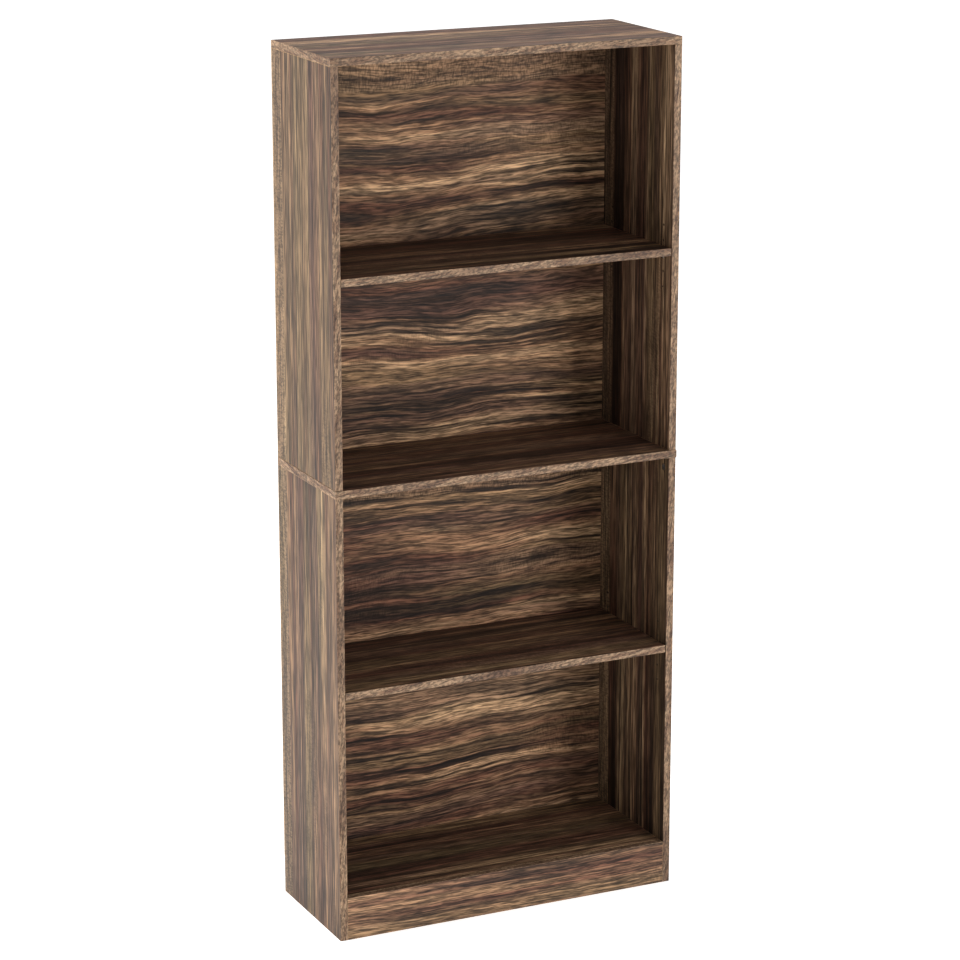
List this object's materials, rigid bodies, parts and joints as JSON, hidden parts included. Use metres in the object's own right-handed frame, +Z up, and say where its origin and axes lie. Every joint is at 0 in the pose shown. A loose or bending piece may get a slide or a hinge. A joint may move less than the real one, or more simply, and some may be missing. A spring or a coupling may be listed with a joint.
{
  "type": "bookcase",
  "caption": "Tall narrow open-fronted bookcase with a fixed middle shelf, a kick board and loose shelves that lie on pins in rows of holes, so that their height can be changed.",
  "frame": {"origin": "on the floor, in the middle of the overall box", "axes": "+X to the right seen from the front, +Y from the open front to the back, +Z up"},
  "size_m": [0.766, 0.306, 1.81],
  "materials": {
    "walnut_laminate": "matt wood-grain laminate on particle board, greyish walnut",
    "walnut_back": "matt printed wood grain on thin hardboard, plain brown behind",
    "pin_steel": "nickel-plated steel",
    "cam_zinc": "cast zinc alloy",
    "bolt_steel": "zinc-plated steel",
    "dowel_beech": "raw beech"
  },
  "bodies": {
    "carcass": {"bolt_bottom_left_front": "bolt_steel", "bolt_bottom_left_rear": "bolt_steel", "bolt_bottom_right_front": "bolt_steel", "bolt_bottom_right_rear": "bolt_steel", "bolt_middle_left_front": "bolt_steel", "bolt_middle_left_rear": "bolt_steel", "bolt_middle_right_front": "bolt_steel", "bolt_middle_right_rear": "bolt_steel", "bolt_top_left_rear": "bolt_steel", "bolt_top_right_rear": "bolt_steel", "bottom_shelf": "walnut_laminate", "cam_bottom_left_front": "cam_zinc", "cam_bottom_left_rear": "cam_zinc", "cam_bottom_right_front": "cam_zinc", "cam_bottom_right_rear": "cam_zinc", "cam_middle_left_front": "cam_zinc", "cam_middle_left_rear": "cam_zinc", "cam_middle_right_front": "cam_zinc", "cam_middle_right_rear": "cam_zinc", "cam_top_left_rear": "cam_zinc", "cam_top_right_rear": "cam_zinc", "dowel_bottom_left_front": "dowel_beech", "dowel_bottom_left_rear": "dowel_beech", "dowel_bottom_right_front": "dowel_beech", "dowel_bottom_right_rear": "dowel_beech", "dowel_kick_left_lower": "dowel_beech", "dowel_kick_left_upper": "dowel_beech", "dowel_kick_right_lower": "dowel_beech", "dowel_kick_right_upper": "dowel_beech", "dowel_top_left_front": "dowel_beech", "dowel_top_left_middle": "dowel_beech", "dowel_top_right_front": "dowel_beech", "dowel_top_right_middle": "dowel_beech", "kick_board": "walnut_laminate", "left_lower_side": "walnut_laminate", "left_upper_side": "walnut_laminate", "lower_back_panel": "walnut_back", "middle_shelf": "walnut_laminate", "right_lower_side": "walnut_laminate", "right_upper_side": "walnut_laminate", "top_panel": "walnut_laminate", "upper_back_panel": "walnut_back"},
    "upper_shelf": {"upper_adjustable_shelf": "walnut_laminate"},
    "lower_shelf": {"lower_adjustable_shelf": "walnut_laminate"},
    "lower_left_front_pin": {"lower_left_front_pin": "pin_steel"},
    "lower_left_rear_pin": {"lower_left_rear_pin": "pin_steel"},
    "lower_right_front_pin": {"lower_right_front_pin": "pin_steel"},
    "lower_right_rear_pin": {"lower_right_rear_pin": "pin_steel"},
    "upper_left_front_pin": {"upper_left_front_pin": "pin_steel"},
    "upper_left_rear_pin": {"upper_left_rear_pin": "pin_steel"},
    "upper_right_front_pin": {"upper_right_front_pin": "pin_steel"},
    "upper_right_rear_pin": {"upper_right_rear_pin": "pin_steel"}
  },
  "joints": [
    {"name": "upper_shelf_lift", "type": "slide", "parent": "carcass", "child": "upper_shelf", "axis": [0, 0, 1], "range_m": [0, 0.064]},
    {"name": "lower_shelf_lift", "type": "slide", "parent": "carcass", "child": "lower_shelf", "axis": [0, 0, 1], "range_m": [0, 0.064]},
    {"name": "lower_left_front_pin_pull", "type": "slide", "parent": "carcass", "child": "lower_left_front_pin", "axis": [1, 0, 0], "range_m": [0, 0.01]},
    {"name": "lower_left_rear_pin_pull", "type": "slide", "parent": "carcass", "child": "lower_left_rear_pin", "axis": [1, 0, 0], "range_m": [0, 0.01]},
    {"name": "lower_right_front_pin_pull", "type": "slide", "parent": "carcass", "child": "lower_right_front_pin", "axis": [-1, 0, 0], "range_m": [0, 0.01]},
    {"name": "lower_right_rear_pin_pull", "type": "slide", "parent": "carcass", "child": "lower_right_rear_pin", "axis": [-1, 0, 0], "range_m": [0, 0.01]},
    {"name": "upper_left_front_pin_pull", "type": "slide", "parent": "carcass", "child": "upper_left_front_pin", "axis": [1, 0, 0], "range_m": [0, 0.01]},
    {"name": "upper_left_rear_pin_pull", "type": "slide", "parent": "carcass", "child": "upper_left_rear_pin", "axis": [1, 0, 0], "range_m": [0, 0.01]},
    {"name": "upper_right_front_pin_pull", "type": "slide", "parent": "carcass", "child": "upper_right_front_pin", "axis": [-1, 0, 0], "range_m": [0, 0.01]},
    {"name": "upper_right_rear_pin_pull", "type": "slide", "parent": "carcass", "child": "upper_right_rear_pin", "axis": [-1, 0, 0], "range_m": [0, 0.01]}
  ]
}
